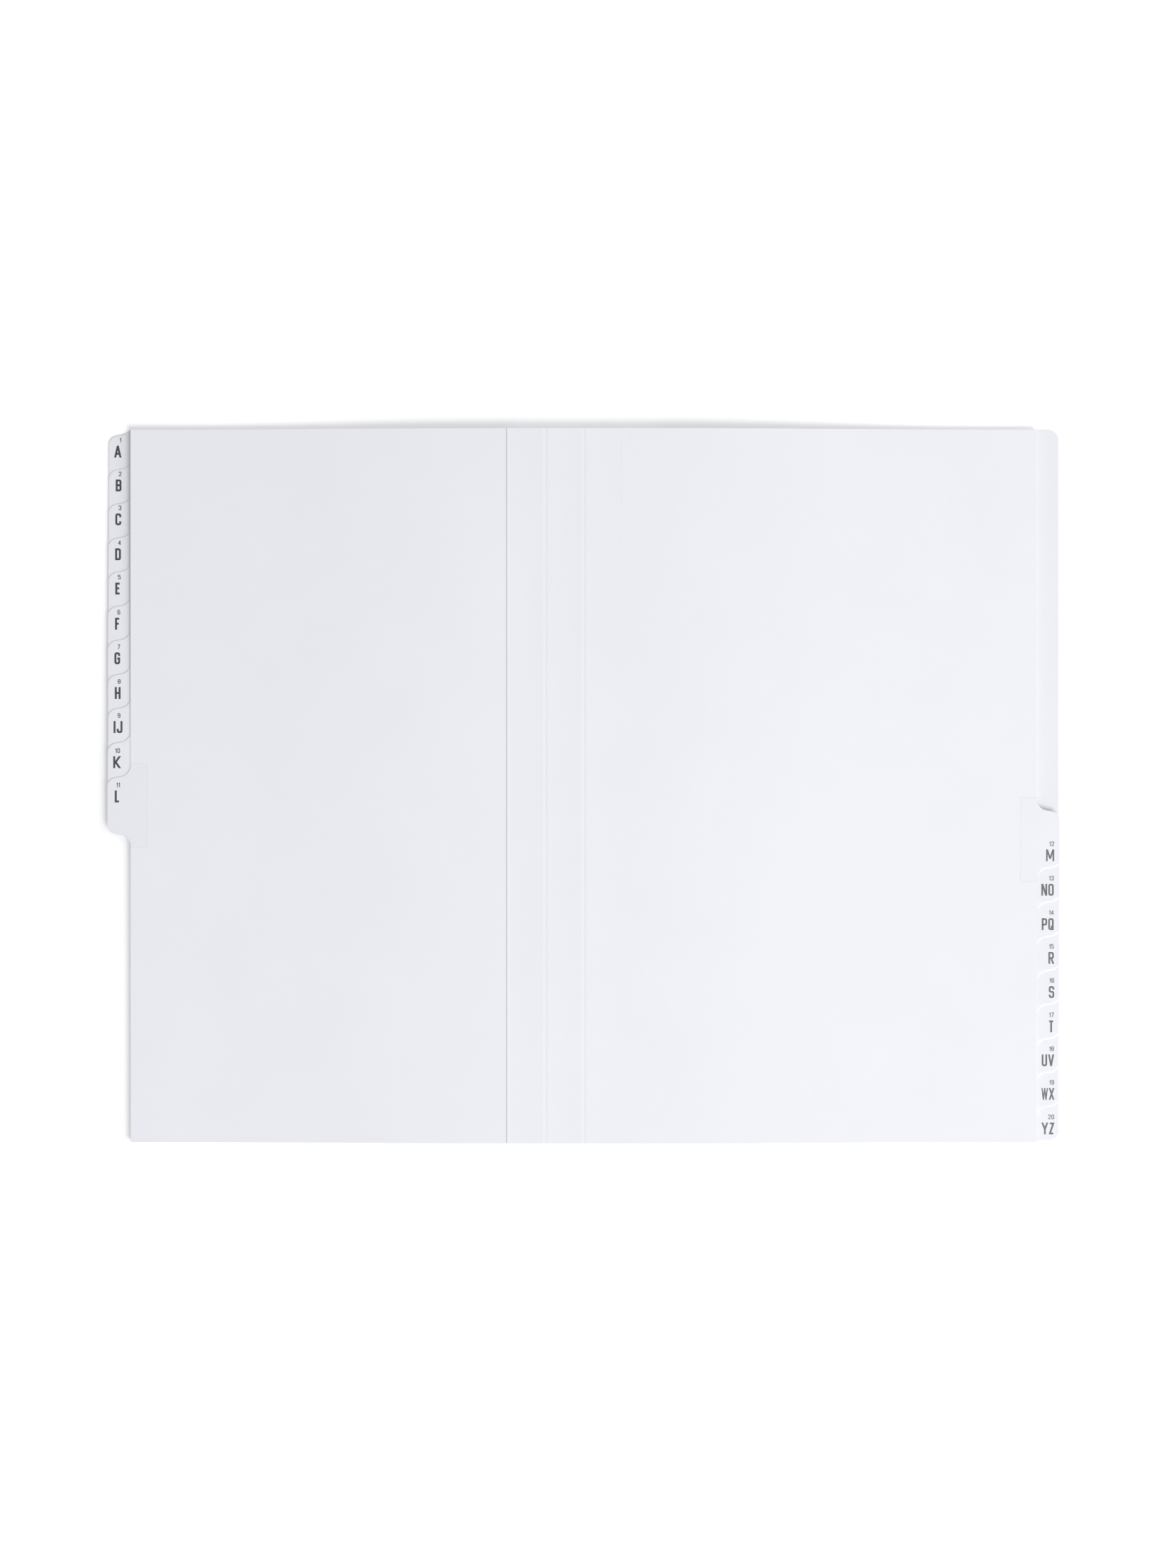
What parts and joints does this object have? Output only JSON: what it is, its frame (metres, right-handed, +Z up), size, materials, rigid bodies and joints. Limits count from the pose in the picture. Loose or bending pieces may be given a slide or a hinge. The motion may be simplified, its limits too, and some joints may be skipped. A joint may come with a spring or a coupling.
{
  "type": "alphabetical desk sorter",
  "caption": "White card concertina sorter lying open, with stepped lettered index tabs on its dividers and gusset-bound compartments for sorting papers.",
  "frame": {"origin": "on the desk under the gutter, half way up the sheets", "axes": "+X to the right, across the open sorter from the gutter; +Y to the head of the sheets; +Z up from the desk"},
  "size_m": [0.454, 0.34, 0.0103],
  "materials": {
    "leaf_card": "matte uncoated",
    "cover_card": "matte",
    "tab_film": "clear gloss",
    "index_ink": "printed"
  },
  "bodies": {
    "back_half": {"back_cover": "cover_card", "leaf_m": "leaf_card", "leaf_no": "leaf_card", "leaf_pq": "leaf_card", "leaf_r": "leaf_card", "leaf_s": "leaf_card", "leaf_t": "leaf_card", "leaf_uv": "leaf_card", "leaf_wx": "leaf_card", "leaf_yz": "leaf_card", "tab_film_m": "tab_film", "tab_film_no": "tab_film", "tab_film_pq": "tab_film", "tab_film_r": "tab_film", "tab_film_s": "tab_film", "tab_film_t": "tab_film", "tab_film_uv": "tab_film", "tab_film_wx": "tab_film", "tab_film_yz": "tab_film"},
    "front_half": {"front_cover": "cover_card", "leaf_a": "leaf_card", "leaf_b": "leaf_card", "leaf_c": "leaf_card", "leaf_d": "leaf_card", "leaf_e": "leaf_card", "leaf_f": "leaf_card", "leaf_g": "leaf_card", "leaf_h": "leaf_card", "leaf_ij": "leaf_card", "leaf_k": "leaf_card", "leaf_l": "leaf_card", "tab_film_a": "tab_film", "tab_film_b": "tab_film", "tab_film_c": "tab_film", "tab_film_d": "tab_film", "tab_film_e": "tab_film", "tab_film_f": "tab_film", "tab_film_g": "tab_film", "tab_film_h": "tab_film", "tab_film_ij": "tab_film", "tab_film_k": "tab_film", "tab_film_l": "tab_film"}
  },
  "joints": [
    {"name": "gutter_fold", "type": "hinge", "parent": "back_half", "child": "front_half", "pos_m": [0, 0, 0.01026], "axis": [0, 1, 0], "range_deg": [0, 180], "deforming": ["leaf_m"]}
  ]
}
